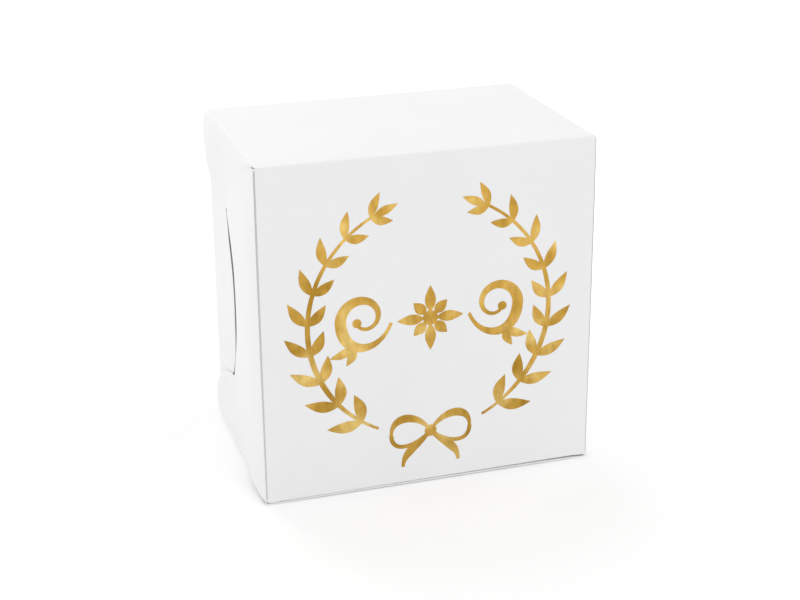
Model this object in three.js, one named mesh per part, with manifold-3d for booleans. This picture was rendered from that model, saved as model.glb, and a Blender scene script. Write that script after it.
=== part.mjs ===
// Cake box for one portion, folded from a single die-cut sheet of coated white board.
// Millimetres, +Z up. The box stands on its bottom wall at z = 0, with its printed front towards -Y
// and its left end towards -X. Four rounded flaps close each end, lying over each other.
import * as THREE from 'three';
import { mergeVertices } from 'three/addons/utils/BufferGeometryUtils.js';
import Module from 'manifold-3d';

const wasm = await Module();
wasm.setup();

// Closed box, over everything
const WIDTH = 140;
const DEPTH = 93;
const HEIGHT = 142.5;

// Board, and the clearances between its panels
const BOARD = 0.5;
const CREASE_GAP = 0.3;
const LAYER_GAP = 0.3;
const SEAM_GAP = 0.3;

// Tuck flap, folded in under the front wall
const TUCK_LENGTH = 16;
const TUCK_SIDE_GAP = 5;
const TUCK_CORNER = 7;
const TUCK_CREASE_INSET = 1.1;
const TUCK_SWING_GAP = 0.3;

// Back end flaps, a half oval on each end of the back wall
const BACK_FLAP_REACH = 45.1;
const BACK_FLAP_MARGIN = 18;
const BACK_FLAP_FULLNESS = 2;

// Top and bottom end flaps, fuller towards the back than towards the front
const SIDE_FLAP_REACH = 34;
const SIDE_FLAP_BACK_MARGIN = 0.5;
const SIDE_FLAP_FRONT_MARGIN = 5;
const SIDE_FLAP_BACK_FULLNESS = 2.3;
const SIDE_FLAP_FRONT_FULLNESS = 2;

// Front end flaps, whose middle is cut back along a curve that leaves a slit beside the back flap's edge
const SLIT = 1.2;
const SLIT_MARGIN = 8.4;
const SLIT_FULLNESS = 2.2;
const FRONT_FLAP_MARGIN = 0.6;
const FRONT_FLAP_TOP_FULLNESS = 1.45;
const FRONT_FLAP_BOTTOM_FULLNESS = 2.2;

// Gold foil ornament on the front wall: a wreath, a rosette, two scrolls and a bow
const FOIL = 0.1;
const ORNAMENT_RISE = 2;
const WREATH_RADIUS = 51;
const WREATH_START_DEGREES = -64;
const WREATH_END_DEGREES = 67;
const STEM_THICK = 2.3;
const STEM_THIN = 1.2;
const STEM_PEAK = 0.3;
const LEAF_PAIRS = 9;
const LEAF_LENGTH = 15.5;
const LEAF_WIDTH = 5.2;
const LEAF_TAPER = 0.3;
const LEAF_SPREAD_DEGREES = 40;
const LEAF_BOW = 0.8;
const LEAF_BELLY = 0.85;
const INNER_LEAF_SHARE = 0.86;
const LEAF_OFFSET_SHARE = 0.6;
const PETALS = 8;
const LONG_PETAL_LENGTH = 11.5;
const SHORT_PETAL_LENGTH = 7.5;
const PETAL_WIDTH = 4.6;
const ROSETTE_RADIUS = 3.2;
const PETAL_FOOT_SHARE = 0.8;
const SCROLL_CENTRE_X = 28;
const SCROLL_CENTRE_Z = 3;
const SCROLL_OUTER = 9.5;
const SCROLL_INNER = 3.2;
const SCROLL_TURN_DEGREES = 330;
const SCROLL_START_X = 16.5;
const SCROLL_DROP = 13;
const SCROLL_THICK = 4.8;
const SCROLL_PEAK = 0.4;
const LONG_SPUR_LENGTH = 11;
const LONG_SPUR_DEGREES = -22;
const SHORT_SPUR_LENGTH = 8.8;
const SHORT_SPUR_DEGREES = -68;
const SPUR_WIDTH = 3.8;
const STROKE_THIN = 1.4;
const BALL_RADIUS = 1.9;
const BOW_DROP = 50;
const BOW_LOOP_LENGTH = 17;
const BOW_LOOP_HEIGHT = 9;
const BOW_LOOP_SAG = 6.3;
const BOW_TAIL_LENGTH = 15;
const BOW_TAIL_SPREAD = 12;
const BOW_THICK = 3.6;
const BOW_PEAK = 0.6;
const BOW_UNDERSIDE_THICK = 1.8;
const KNOT_RADIUS = 2.6;

// Facets along the curves
const FLAP_STEPS = 12;
const SLIT_STEPS = 14;
const LEAF_STEPS = 6;
const STROKE_STEPS = 16;
const DISC_STEPS = 16;

const QUARTER = Math.PI / 2;
const edgeGap = CREASE_GAP / 2;
const layer = BOARD + LAYER_GAP;
const bodyDepth = DEPTH - FOIL;
const frontFace = -DEPTH / 2 + FOIL;
const seamHeight = BOARD + SEAM_GAP;
const frontLength = HEIGHT - seamHeight;
const frontHalf = WIDTH / 2;
const sideHalf = frontHalf - layer;
const backHalf = frontHalf - 2 * layer;

function point(x, y) {
  return new THREE.Vector2(x, y);
}

// One quarter of an oval about (x, y), from its end along x to its end along y
function quarterOval(x, y, alongX, alongY, fullness, steps) {
  const points = [];
  for (let i = 0; i <= steps; i++) {
    const turn = (QUARTER * i) / steps;
    const across = Math.pow(Math.cos(turn), 2 / fullness);
    const up = Math.pow(Math.sin(turn), 2 / fullness);
    points.push(point(x + alongX * (i === steps ? 0 : across), y + alongY * up));
  }
  return points;
}

// Board between an outer outline at z = 0 and an inner outline one board thickness below it
function boardGeometry(outerOutline, innerOutline) {
  const clockwise = THREE.ShapeUtils.isClockWise(outerOutline);
  const outer = clockwise ? [...outerOutline].reverse() : outerOutline;
  const inner = clockwise ? [...innerOutline].reverse() : innerOutline;
  const count = outer.length;
  const positions = [];
  outer.forEach((p) => positions.push(p.x, p.y, 0));
  inner.forEach((p) => positions.push(p.x, p.y, -BOARD));
  const index = [];
  for (const [a, b, c] of THREE.ShapeUtils.triangulateShape(outer, [])) {
    index.push(a, b, c, count + c, count + b, count + a);
  }
  for (let i = 0; i < count; i++) {
    const next = (i + 1) % count;
    index.push(count + i, count + next, next, count + i, next, i);
  }
  const geometry = new THREE.BufferGeometry();
  geometry.setAttribute('position', new THREE.Float32BufferAttribute(positions, 3));
  geometry.setIndex(index);
  return geometry;
}

function boardMesh(name, geometry) {
  const material = new THREE.MeshStandardMaterial({
    color: 0xf4f4f6, roughness: 0.42, metalness: 0, flatShading: true,
  });
  const mesh = new THREE.Mesh(geometry, material);
  mesh.name = name;
  return mesh;
}

// A folding line on a panel: what is added to it turns about its own x axis
function crease(parent, x, y, heading, fold) {
  const line = new THREE.Group();
  line.position.set(x, y, 0);
  line.rotation.z = heading;
  const hinge = new THREE.Group();
  hinge.rotation.x = -fold;
  line.add(hinge);
  parent.add(line);
  return hinge;
}

// A rectangular wall, mitred inwards along each creased edge; an inset of 0 leaves a plain free edge
function wall(name, halfWidth, length, nearInset, farInset) {
  const x = halfWidth - edgeGap;
  const near = nearInset > 0 ? edgeGap : 0;
  const far = length - edgeGap;
  const outer = [point(-x, near), point(x, near), point(x, far), point(-x, far)];
  const innerX = x - BOARD;
  const innerNear = near + nearInset;
  const innerFar = far - farInset;
  const inner = [
    point(-innerX, innerNear), point(innerX, innerNear), point(innerX, innerFar), point(-innerX, innerFar),
  ];
  return boardMesh(name, boardGeometry(outer, inner));
}

// The tuck flap has one creased edge and two rounded corners
function tuckFlap() {
  const half = frontHalf - TUCK_SIDE_GAP;
  const corner = point(half - TUCK_CORNER, TUCK_LENGTH - TUCK_CORNER);
  const rightCorner = quarterOval(corner.x, corner.y, TUCK_CORNER, TUCK_CORNER, 2, FLAP_STEPS / 2);
  const leftCorner = rightCorner.map((p) => point(-p.x, p.y)).reverse();
  const round = [...rightCorner, ...leftCorner];
  const outer = [point(-half, edgeGap), point(half, edgeGap), ...round];
  const innerNear = edgeGap + TUCK_CREASE_INSET;
  const inner = [point(-half, innerNear), point(half, innerNear), ...round];
  return boardMesh('tuck_flap', boardGeometry(outer, inner));
}

// Outlines of the end flaps: x runs along the crease from its wall's near edge, y is the reach

// Half oval centred on the back wall's height
function backFlapOutline() {
  const half = HEIGHT / 2 - BACK_FLAP_MARGIN;
  const upper = quarterOval(HEIGHT / 2, 0, half, BACK_FLAP_REACH, BACK_FLAP_FULLNESS, FLAP_STEPS);
  const lower = quarterOval(HEIGHT / 2, 0, -half, BACK_FLAP_REACH, BACK_FLAP_FULLNESS, FLAP_STEPS);
  return [...upper, ...lower.reverse().slice(1)];
}

// A flap of the top or bottom wall, from the back edge of the box towards the front
function sideFlapOutline() {
  const middle = bodyDepth / 2;
  const reach = SIDE_FLAP_REACH;
  const backHalfLength = SIDE_FLAP_BACK_MARGIN - middle;
  const frontHalfLength = middle - SIDE_FLAP_FRONT_MARGIN;
  const backPart = quarterOval(middle, 0, backHalfLength, reach, SIDE_FLAP_BACK_FULLNESS, FLAP_STEPS);
  const frontPart = quarterOval(middle, 0, frontHalfLength, reach, SIDE_FLAP_FRONT_FULLNESS, FLAP_STEPS);
  return [...backPart, ...frontPart.reverse().slice(1)];
}

// Reach of the front flap at a distance below the top, short of the back flap's edge by the slit or more
function slitReach(fromTop) {
  const half = HEIGHT / 2 - SLIT_MARGIN;
  const share = Math.abs(HEIGHT / 2 - fromTop) / half;
  const roundness = Math.pow(Math.max(1 - Math.pow(share, SLIT_FULLNESS), 0), 1 / SLIT_FULLNESS);
  return bodyDepth - (BACK_FLAP_REACH + SLIT) * roundness;
}

// Two round horns over the top and bottom flaps, joined along the slit
function frontFlapOutline() {
  const topTip = SIDE_FLAP_REACH;
  const bottomTip = HEIGHT - SIDE_FLAP_REACH;
  const foot = frontLength - FRONT_FLAP_MARGIN;
  const rise = FRONT_FLAP_MARGIN - topTip;
  const top = quarterOval(topTip, 0, rise, slitReach(topTip), FRONT_FLAP_TOP_FULLNESS, FLAP_STEPS);
  const bottom = quarterOval(
    bottomTip, 0, foot - bottomTip, slitReach(bottomTip), FRONT_FLAP_BOTTOM_FULLNESS, FLAP_STEPS,
  );
  const slit = [];
  for (let i = 1; i < SLIT_STEPS; i++) {
    const fromTop = topTip + ((bottomTip - topTip) * i) / SLIT_STEPS;
    slit.push(point(fromTop, slitReach(fromTop)));
  }
  return [...top, ...slit, ...bottom.reverse()];
}

// The same flap on both ends of a wall; the outline's first and last points lie on the crease
function endFlaps(parent, name, halfWidth, outline) {
  const last = outline.length - 1;
  for (const side of [1, -1]) {
    const hinge = crease(parent, side * halfWidth, 0, -side * QUARTER, QUARTER);
    const rooted = (root) => outline.map((p, i) => point(-side * p.x, i === 0 || i === last ? root : p.y));
    const geometry = boardGeometry(rooted(edgeGap), rooted(edgeGap + BOARD));
    hinge.add(boardMesh(`${side > 0 ? 'left' : 'right'}_${name}_flap`, geometry));
  }
}

// A pointed leaf from its foot (x, y) along a heading in radians, bent sideways by a small bow
function leafOutline(x, y, heading, length, width, bow) {
  const left = [];
  const right = [];
  for (let i = 0; i <= LEAF_STEPS; i++) {
    const along = i / LEAF_STEPS;
    const half = (width / 2) * Math.sin(Math.PI * Math.pow(along, LEAF_BELLY));
    const middle = bow * Math.sin(Math.PI * along);
    left.push(point(along * length, middle + half));
    if (i > 0 && i < LEAF_STEPS) right.push(point(along * length, middle - half));
  }
  const outline = [...left, ...right.reverse()];
  return outline.map((p) => p.rotateAround(point(0, 0), heading).add(point(x, y)));
}

function discOutline(x, y, radius) {
  const points = [];
  for (let i = 0; i < DISC_STEPS; i++) {
    const turn = (2 * Math.PI * i) / DISC_STEPS;
    points.push(point(x + radius * Math.cos(turn), y + radius * Math.sin(turn)));
  }
  return points;
}

// A stroke along a line of points, swelling from thin to thick at its peak and thin again
function strokeOutline(line, thin, thick, peak) {
  const last = line.length - 1;
  const run = [0];
  for (let i = 1; i <= last; i++) run.push(run[i - 1] + line[i].distanceTo(line[i - 1]));
  const left = [];
  const right = [];
  line.forEach((p, i) => {
    const share = run[i] / run[last];
    const swell = share < peak ? share / peak : (1 - share) / (1 - peak);
    const half = (thin + (thick - thin) * Math.pow(Math.sin(QUARTER * swell), 2)) / 2;
    const before = line[Math.max(i - 1, 0)];
    const after = line[Math.min(i + 1, last)];
    const across = after.clone().sub(before).normalize().rotateAround(point(0, 0), QUARTER);
    left.push(p.clone().addScaledVector(across, half));
    right.push(p.clone().addScaledVector(across, -half));
  });
  return [...left, ...right.reverse()];
}

function arcLine(x, y, startRadius, endRadius, startTurn, endTurn, steps) {
  const points = [];
  for (let i = 0; i <= steps; i++) {
    const share = i / steps;
    const radius = startRadius + (endRadius - startRadius) * share;
    const turn = THREE.MathUtils.degToRad(startTurn + (endTurn - startTurn) * share);
    points.push(point(x + radius * Math.cos(turn), y + radius * Math.sin(turn)));
  }
  return points;
}

function curveLine(start, startPull, endPull, end) {
  return new THREE.CubicBezierCurve(start, startPull, endPull, end).getPoints(STROKE_STEPS / 2);
}

// The right half of the wreath: a bent stem with leaves in pairs and one at its tip
function sprigOutlines() {
  const stem = arcLine(
    0, 0, WREATH_RADIUS, WREATH_RADIUS, WREATH_START_DEGREES, WREATH_END_DEGREES, STROKE_STEPS,
  );
  const outlines = [strokeOutline(stem, STEM_THIN, STEM_THICK, STEM_PEAK)];
  for (let i = 0; i < LEAF_PAIRS; i++) {
    const share = (i + LEAF_OFFSET_SHARE) / LEAF_PAIRS;
    const degrees = WREATH_START_DEGREES + (WREATH_END_DEGREES - WREATH_START_DEGREES) * share;
    const turn = THREE.MathUtils.degToRad(degrees);
    const spread = THREE.MathUtils.degToRad(LEAF_SPREAD_DEGREES);
    const x = WREATH_RADIUS * Math.cos(turn);
    const y = WREATH_RADIUS * Math.sin(turn);
    const size = 1 - LEAF_TAPER * share;
    const along = turn + QUARTER;
    const length = LEAF_LENGTH * size;
    const width = LEAF_WIDTH * size;
    outlines.push(leafOutline(x, y, along - spread, length, width, -LEAF_BOW));
    outlines.push(leafOutline(x, y, along + spread, length * INNER_LEAF_SHARE, width, LEAF_BOW));
  }
  const tip = stem[stem.length - 1].clone().lerp(stem[stem.length - 2], 0.5);
  const tipHeading = THREE.MathUtils.degToRad(WREATH_END_DEGREES) + QUARTER;
  const tipSize = 1 - LEAF_TAPER;
  outlines.push(leafOutline(tip.x, tip.y, tipHeading, LEAF_LENGTH * tipSize, LEAF_WIDTH * tipSize, 0));
  return outlines;
}

// The right scroll: a stroke that drops away from the rosette and winds into a ball, with two spurs
function scrollOutlines() {
  const turnStart = point(SCROLL_CENTRE_X + SCROLL_OUTER, SCROLL_CENTRE_Z);
  const lead = curveLine(
    point(SCROLL_START_X, 0),
    point(SCROLL_START_X + SCROLL_OUTER / 2, -SCROLL_DROP),
    point(turnStart.x, -SCROLL_DROP),
    turnStart,
  );
  const turns = arcLine(
    SCROLL_CENTRE_X, SCROLL_CENTRE_Z, SCROLL_OUTER, SCROLL_INNER, 0, SCROLL_TURN_DEGREES, 2 * STROKE_STEPS,
  );
  const line = [...lead.slice(0, -1), ...turns];
  const end = line[line.length - 1];
  const root = lead[Math.round(lead.length / 2)];
  const longTurn = THREE.MathUtils.degToRad(LONG_SPUR_DEGREES);
  const shortTurn = THREE.MathUtils.degToRad(SHORT_SPUR_DEGREES);
  return [
    strokeOutline(line, STROKE_THIN, SCROLL_THICK, SCROLL_PEAK),
    discOutline(end.x, end.y, BALL_RADIUS),
    leafOutline(root.x, root.y, longTurn, LONG_SPUR_LENGTH, SPUR_WIDTH, -LEAF_BOW),
    leafOutline(root.x, root.y, shortTurn, SHORT_SPUR_LENGTH, SPUR_WIDTH, -LEAF_BOW),
  ];
}

// Long and short petals in turn about a button
function rosetteOutlines() {
  const outlines = [discOutline(0, 0, ROSETTE_RADIUS)];
  for (let i = 0; i < PETALS; i++) {
    const turn = (2 * Math.PI * i) / PETALS;
    const foot = point(ROSETTE_RADIUS * PETAL_FOOT_SHARE, 0).rotateAround(point(0, 0), turn);
    const length = i % 2 === 0 ? LONG_PETAL_LENGTH : SHORT_PETAL_LENGTH;
    outlines.push(leafOutline(foot.x, foot.y, turn, length, PETAL_WIDTH, 0));
  }
  return outlines;
}

// Two loops and two tails that leave one knot
function bowOutlines() {
  const knot = point(0, -BOW_DROP);
  const outlines = [discOutline(knot.x, knot.y, KNOT_RADIUS)];
  for (const side of [1, -1]) {
    const far = side * BOW_LOOP_LENGTH;
    const near = far / 3;
    const loopEnd = point(far, knot.y);
    const loopTop = knot.y + BOW_LOOP_HEIGHT;
    const loopFoot = knot.y - BOW_LOOP_HEIGHT;
    const over = curveLine(knot, point(near, loopTop), point(far, loopTop), loopEnd);
    const under = curveLine(loopEnd, point(far, loopFoot), point(near, knot.y - BOW_LOOP_SAG), knot);
    outlines.push(strokeOutline(over, STROKE_THIN, BOW_THICK, BOW_PEAK));
    outlines.push(strokeOutline(under, BOW_UNDERSIDE_THICK, BOW_UNDERSIDE_THICK, BOW_PEAK));
    const spread = side * BOW_TAIL_SPREAD;
    const tail = curveLine(
      knot,
      point(spread / 4, knot.y - BOW_TAIL_LENGTH / 3),
      point(spread, knot.y - BOW_TAIL_LENGTH / 2),
      point(spread, knot.y - BOW_TAIL_LENGTH),
    );
    outlines.push(strokeOutline(tail, STROKE_THIN, BOW_THICK, BOW_PEAK));
  }
  return outlines;
}

// A thin plate of foil joined from overlapping outlines
function foilMesh(name, outlines, side) {
  let plate = null;
  for (const outline of outlines) {
    const shape = new THREE.Shape(outline.map((p) => point(side * p.x, p.y)));
    const stroke = new THREE.ExtrudeGeometry(shape, { depth: FOIL, bevelEnabled: false });
    stroke.deleteAttribute('normal');
    stroke.deleteAttribute('uv');
    const merged = mergeVertices(stroke);
    const solid = new wasm.Manifold(new wasm.Mesh({
      numProp: 3,
      vertProperties: merged.attributes.position.array,
      triVerts: new Uint32Array(merged.index.array),
    }));
    plate = plate ? plate.add(solid) : solid;
  }
  const joined = plate.getMesh();
  const geometry = new THREE.BufferGeometry();
  geometry.setAttribute('position', new THREE.Float32BufferAttribute(joined.vertProperties, 3));
  geometry.setIndex(Array.from(joined.triVerts));
  const material = new THREE.MeshStandardMaterial({
    color: 0xc49a36, roughness: 0.32, metalness: 1, flatShading: true,
  });
  const mesh = new THREE.Mesh(geometry, material);
  mesh.name = name;
  return mesh;
}

// Bottom wall: its outer face looks down, and its front edge is free
const box = new THREE.Group();
const bottom = new THREE.Group();
bottom.position.set(0, frontFace, 0);
bottom.rotation.y = Math.PI;
box.add(bottom);
bottom.add(wall('bottom_wall', sideHalf, bodyDepth, 0, BOARD));

// Back, top and front walls follow on from it, each folded up from the one before
const back = crease(bottom, 0, bodyDepth, 0, QUARTER);
back.add(wall('back_wall', backHalf, HEIGHT, BOARD, BOARD));
const top = crease(back, 0, HEIGHT, 0, QUARTER);
top.add(wall('top_wall', sideHalf, bodyDepth, BOARD, BOARD));
const front = crease(top, 0, bodyDepth, 0, QUARTER);
front.add(wall('front_wall', frontHalf, frontLength, BOARD, TUCK_CREASE_INSET));

// The tuck flap leans up enough for its free edge to clear the bottom wall as the front swings open
const swing = HEIGHT - BOARD - TUCK_SWING_GAP;
const tuckEdgeHeight = HEIGHT - Math.sqrt(swing * swing - TUCK_LENGTH * TUCK_LENGTH);
const tuckLean = Math.asin((tuckEdgeHeight - seamHeight) / TUCK_LENGTH);
const tuck = crease(front, 0, frontLength, 0, QUARTER + tuckLean);
tuck.add(tuckFlap());

// End flaps: the back ones lie innermost, the top and bottom ones over them, the front ones outside
endFlaps(back, 'back', backHalf, backFlapOutline());
endFlaps(top, 'top', sideHalf, sideFlapOutline());
endFlaps(bottom, 'bottom', sideHalf, sideFlapOutline().map((p) => point(bodyDepth - p.x, p.y)));
endFlaps(front, 'front', frontHalf, frontFlapOutline());

// The foil lies on the front wall's outer face, upright as seen from in front
const ornament = new THREE.Group();
ornament.position.set(0, HEIGHT / 2 - ORNAMENT_RISE, 0);
ornament.rotation.z = Math.PI;
front.add(ornament);
for (const [sideName, side] of [['left', -1], ['right', 1]]) {
  ornament.add(foilMesh(`${sideName}_foil_sprig`, sprigOutlines(), side));
  ornament.add(foilMesh(`${sideName}_foil_scroll`, scrollOutlines(), side));
}
ornament.add(foilMesh('foil_rosette', rosetteOutlines(), 1));
ornament.add(foilMesh('foil_bow', bowOutlines(), 1));

export default box;
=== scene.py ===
import math

import bmesh
import bpy
import numpy as np
from mathutils import Matrix, Vector
from mathutils.geometry import delaunay_2d_cdt


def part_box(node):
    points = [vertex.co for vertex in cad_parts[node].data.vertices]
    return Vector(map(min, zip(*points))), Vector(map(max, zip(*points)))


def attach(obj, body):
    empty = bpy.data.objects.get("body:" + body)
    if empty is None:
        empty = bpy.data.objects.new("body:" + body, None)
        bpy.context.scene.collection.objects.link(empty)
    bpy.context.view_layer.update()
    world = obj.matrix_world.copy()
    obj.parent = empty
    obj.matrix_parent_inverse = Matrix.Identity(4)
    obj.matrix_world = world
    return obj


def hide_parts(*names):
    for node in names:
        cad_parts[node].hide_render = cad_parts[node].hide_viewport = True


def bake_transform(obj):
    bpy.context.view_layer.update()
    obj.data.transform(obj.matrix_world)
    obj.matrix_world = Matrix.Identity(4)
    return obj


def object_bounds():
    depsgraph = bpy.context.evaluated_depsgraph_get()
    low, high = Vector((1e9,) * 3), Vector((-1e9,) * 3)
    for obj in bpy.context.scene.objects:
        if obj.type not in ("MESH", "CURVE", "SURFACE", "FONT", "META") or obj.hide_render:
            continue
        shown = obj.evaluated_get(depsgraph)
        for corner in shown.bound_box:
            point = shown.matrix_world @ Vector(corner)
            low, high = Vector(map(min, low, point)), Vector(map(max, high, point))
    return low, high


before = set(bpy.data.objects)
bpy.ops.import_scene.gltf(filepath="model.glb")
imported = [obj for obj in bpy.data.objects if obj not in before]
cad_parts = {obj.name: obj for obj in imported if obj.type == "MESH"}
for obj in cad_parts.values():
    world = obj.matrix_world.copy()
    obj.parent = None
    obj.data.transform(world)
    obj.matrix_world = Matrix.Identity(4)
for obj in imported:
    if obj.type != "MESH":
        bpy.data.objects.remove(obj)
cad_low, cad_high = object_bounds()

# Bottom wall
# The wall that the box stands on, and the first panel of the one die-cut sheet it is folded from. Its front
# edge is free. The sheet is white board with a coated face outside, a plain inside and raw cut edges.
MM = 0.001
HEIGHT = round(cad_high.z / MM, 1)
BACK = 46.5
FRONT = round(-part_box("front_wall")[0].y / MM, 1)
SHEET = 0.5
FOLD_RADIUS = 0.9
SIDE_WALL_HALF = 69.4
CORNER_SETBACK = 0.35
FLAP_START = 87.9
CORNER_HALF = 69.55
STEP = 0.02
WALL_BOW = 0.3
BOTTOM_LIFT = 0.45
LIFT_LENGTH = 40
LIFT_FLATNESS = 5


def start_material(name, roughness):
    material = bpy.data.materials.new(name)
    material.use_nodes = True
    shader = material.node_tree.nodes["Principled BSDF"]
    shader.inputs["Roughness"].default_value = roughness
    return material, material.node_tree, shader


def add_noise(tree, scale, detail=3.0, stretch=(1, 1, 1), turn=(0, 0, 0)):
    place = tree.nodes.new("ShaderNodeTexCoord")
    mapping = tree.nodes.new("ShaderNodeMapping")
    mapping.inputs["Scale"].default_value = stretch
    mapping.inputs["Rotation"].default_value = turn
    noise = tree.nodes.new("ShaderNodeTexNoise")
    noise.inputs["Scale"].default_value = scale
    noise.inputs["Detail"].default_value = detail
    tree.links.new(place.outputs["Object"], mapping.inputs["Vector"])
    tree.links.new(mapping.outputs["Vector"], noise.inputs["Vector"])
    return noise.outputs["Fac"]


def ramp_between(tree, value, stops):
    ramp = tree.nodes.new("ShaderNodeValToRGB")
    while len(ramp.color_ramp.elements) < len(stops):
        ramp.color_ramp.elements.new(0.5)
    for element, (position, colour) in zip(ramp.color_ramp.elements, stops):
        element.position = position
        element.color = (*colour, 1)
    tree.links.new(value, ramp.inputs["Fac"])
    return ramp.outputs["Color"]


def spread_between(tree, value, low, high, start=0.3, end=0.7):
    spread = tree.nodes.new("ShaderNodeMapRange")
    spread.inputs["From Min"].default_value = start
    spread.inputs["From Max"].default_value = end
    spread.inputs["To Min"].default_value = low
    spread.inputs["To Max"].default_value = high
    tree.links.new(value, spread.inputs["Value"])
    return spread.outputs["Result"]


def add_relief(tree, shader, layers):
    normal = None
    for height, distance in layers:
        bump = tree.nodes.new("ShaderNodeBump")
        bump.inputs["Distance"].default_value = distance
        tree.links.new(height, bump.inputs["Height"])
        if normal:
            tree.links.new(normal, bump.inputs["Normal"])
        normal = bump.outputs["Normal"]
    tree.links.new(normal, shader.inputs["Normal"])


def coated_face():
    material, tree, shader = start_material("coated_face", 0.65)
    broad = add_noise(tree, 22)
    fine = add_noise(tree, 900)
    tone = ramp_between(tree, broad, [(0.3, (0.885, 0.887, 0.895)), (0.7, (0.905, 0.906, 0.912))])
    tree.links.new(tone, shader.inputs["Base Color"])
    tree.links.new(spread_between(tree, fine, 0.6, 0.7), shader.inputs["Roughness"])
    add_relief(tree, shader, [(broad, 0.0004), (fine, 0.000004)])
    return material


def plain_inside():
    material, tree, shader = start_material("plain_inside", 0.85)
    fibres = add_noise(tree, 1400, 6)
    tone = ramp_between(tree, fibres, [(0.3, (0.82, 0.81, 0.79)), (0.7, (0.88, 0.875, 0.86))])
    tree.links.new(tone, shader.inputs["Base Color"])
    add_relief(tree, shader, [(fibres, 0.00002)])
    return material


def cut_edge():
    material, tree, shader = start_material("cut_edge", 0.9)
    fibres = add_noise(tree, 5000, 4)
    tone = ramp_between(tree, fibres, [(0.3, (0.9, 0.9, 0.89)), (0.7, (0.96, 0.96, 0.95))])
    tree.links.new(tone, shader.inputs["Base Color"])
    add_relief(tree, shader, [(fibres, 0.00003)])
    return material


# Painted shade: the half cut's faces are grey, so the cut looks darker than its shallow notch would shade it.
def scored_line():
    material, tree, shader = start_material("scored_line", 0.9)
    fibres = add_noise(tree, 3000, 4)
    tone = ramp_between(tree, fibres, [(0.3, (0.6, 0.6, 0.6)), (0.7, (0.7, 0.7, 0.7))])
    tree.links.new(tone, shader.inputs["Base Color"])
    return material


BOARD_FINISHES = [coated_face(), plain_inside(), cut_edge(), scored_line()]
COATED, PLAIN, CUT, PAINTED_SHADE_SCORE = range(4)
LEAST_SCORE = 0.01
TOUCHING = 0.001
SHRUNK = 1e-7


def unit_normals(skin, outwards):
    """Normals of a grid on the side that outwards points to; a shrunk column takes its neighbour's."""
    normals = np.cross(np.gradient(skin, axis=0), np.gradient(skin, axis=1))
    lengths = np.linalg.norm(normals, axis=2)
    flip = np.sum(normals * np.array(outwards)) < 0
    for column in list(range(1, skin.shape[1])) + list(range(skin.shape[1] - 2, -1, -1)):
        for row in range(skin.shape[0]):
            if lengths[row, column] < SHRUNK:
                for beside in (column - 1, column + 1):
                    if 0 <= beside < skin.shape[1] and lengths[row, beside] >= SHRUNK:
                        normals[row, column] = normals[row, beside]
                        lengths[row, column] = lengths[row, beside]
    normals /= np.maximum(lengths, 1e-12)[:, :, None]
    return (-normals, True) if flip else (normals, False)


def board_piece(name, skin, outwards, thickness=None, sunk=None):
    """A closed piece of board from a grid of points in mm on its coated face; sunk presses points into it."""
    skin = np.array(skin, float)
    rows, columns = skin.shape[:2]
    normals, flip = unit_normals(skin, outwards)
    thickness = np.full((rows, columns), SHEET) if thickness is None else thickness
    sunk = np.zeros((rows, columns)) if sunk is None else sunk
    outer = skin - normals * sunk[:, :, None]
    inner = skin - normals * thickness[:, :, None]
    points = np.concatenate([outer.reshape(-1, 3), inner.reshape(-1, 3)]) * MM
    count = rows * columns
    faces = []
    finishes = []
    for row in range(rows - 1):
        for column in range(columns - 1):
            a = row * columns + column
            quad = [a, a + columns, a + columns + 1, a + 1]
            # Faces pressed into a half cut take the grey painted-shade finish.
            pressed = max(sunk.flat[corner] for corner in quad) > LEAST_SCORE
            faces += [quad, [count + corner for corner in reversed(quad)]]
            finishes += [PAINTED_SHADE_SCORE if pressed else COATED, PLAIN]
    rim = list(range(columns))
    rim += [row * columns + columns - 1 for row in range(1, rows)]
    rim += [(rows - 1) * columns + column for column in range(columns - 2, -1, -1)]
    rim += [row * columns for row in range(rows - 2, 0, -1)]
    for here, after in zip(rim, rim[1:] + rim[:1]):
        faces.append([here, after, count + after, count + here])
        finishes.append(CUT)
    if flip:
        faces = [list(reversed(face)) for face in faces]
    mesh = bpy.data.meshes.new(name)
    mesh.from_pydata(points.tolist(), [], faces)
    for finish in BOARD_FINISHES:
        mesh.materials.append(finish)
    mesh.polygons.foreach_set("material_index", finishes)
    close_mesh(mesh)
    piece = bpy.data.objects.new(name, mesh)
    bpy.context.scene.collection.objects.link(piece)
    return piece


def close_mesh(mesh, sharp_degrees=40):
    """Merges points that lie together and rounds the shading, except across sharp edges."""
    work = bmesh.new()
    work.from_mesh(mesh)
    bmesh.ops.remove_doubles(work, verts=work.verts, dist=TOUCHING * MM)
    work.to_mesh(mesh)
    work.free()
    mesh.polygons.foreach_set("use_smooth", [True] * len(mesh.polygons))
    mesh.set_sharp_from_angle(angle=math.radians(sharp_degrees))


def spaced(start, end, steps):
    return [start + (end - start) * step / steps for step in range(steps + 1)]


def smooth(value, start, end):
    share = min(max((value - start) / (end - start), 0), 1)
    return share * share * (3 - 2 * share)


def bulge(x, half):
    return 1 - min(abs(x / half), 1) ** 2


def side_wall_edge(from_back):
    """Half the width of the top or bottom wall's flat part, which is full only at its front corners."""
    return CORNER_HALF if from_back > FLAP_START else SIDE_WALL_HALF - FOLD_RADIUS


def side_wall_skin(height, outwards, front_setback, front_lift=0.0):
    depth = BACK + FRONT
    columns = spaced(FOLD_RADIUS, FLAP_START - STEP, 40)
    columns += spaced(FLAP_START + STEP, depth - front_setback, 6)
    skin = []
    for share in spaced(-1, 1, 48):
        row = []
        for from_back in columns:
            x = share * side_wall_edge(from_back)
            bow = WALL_BOW * bulge(x, SIDE_WALL_HALF - FOLD_RADIUS) * bulge(from_back - depth / 2, depth / 2)
            across = 1 - abs(x / SIDE_WALL_HALF) ** LIFT_FLATNESS
            lift = front_lift * smooth(from_back, depth - LIFT_LENGTH, depth) * across
            row.append((x, BACK - from_back, height + outwards * bow + lift))
        skin.append(row)
    return skin


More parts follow.
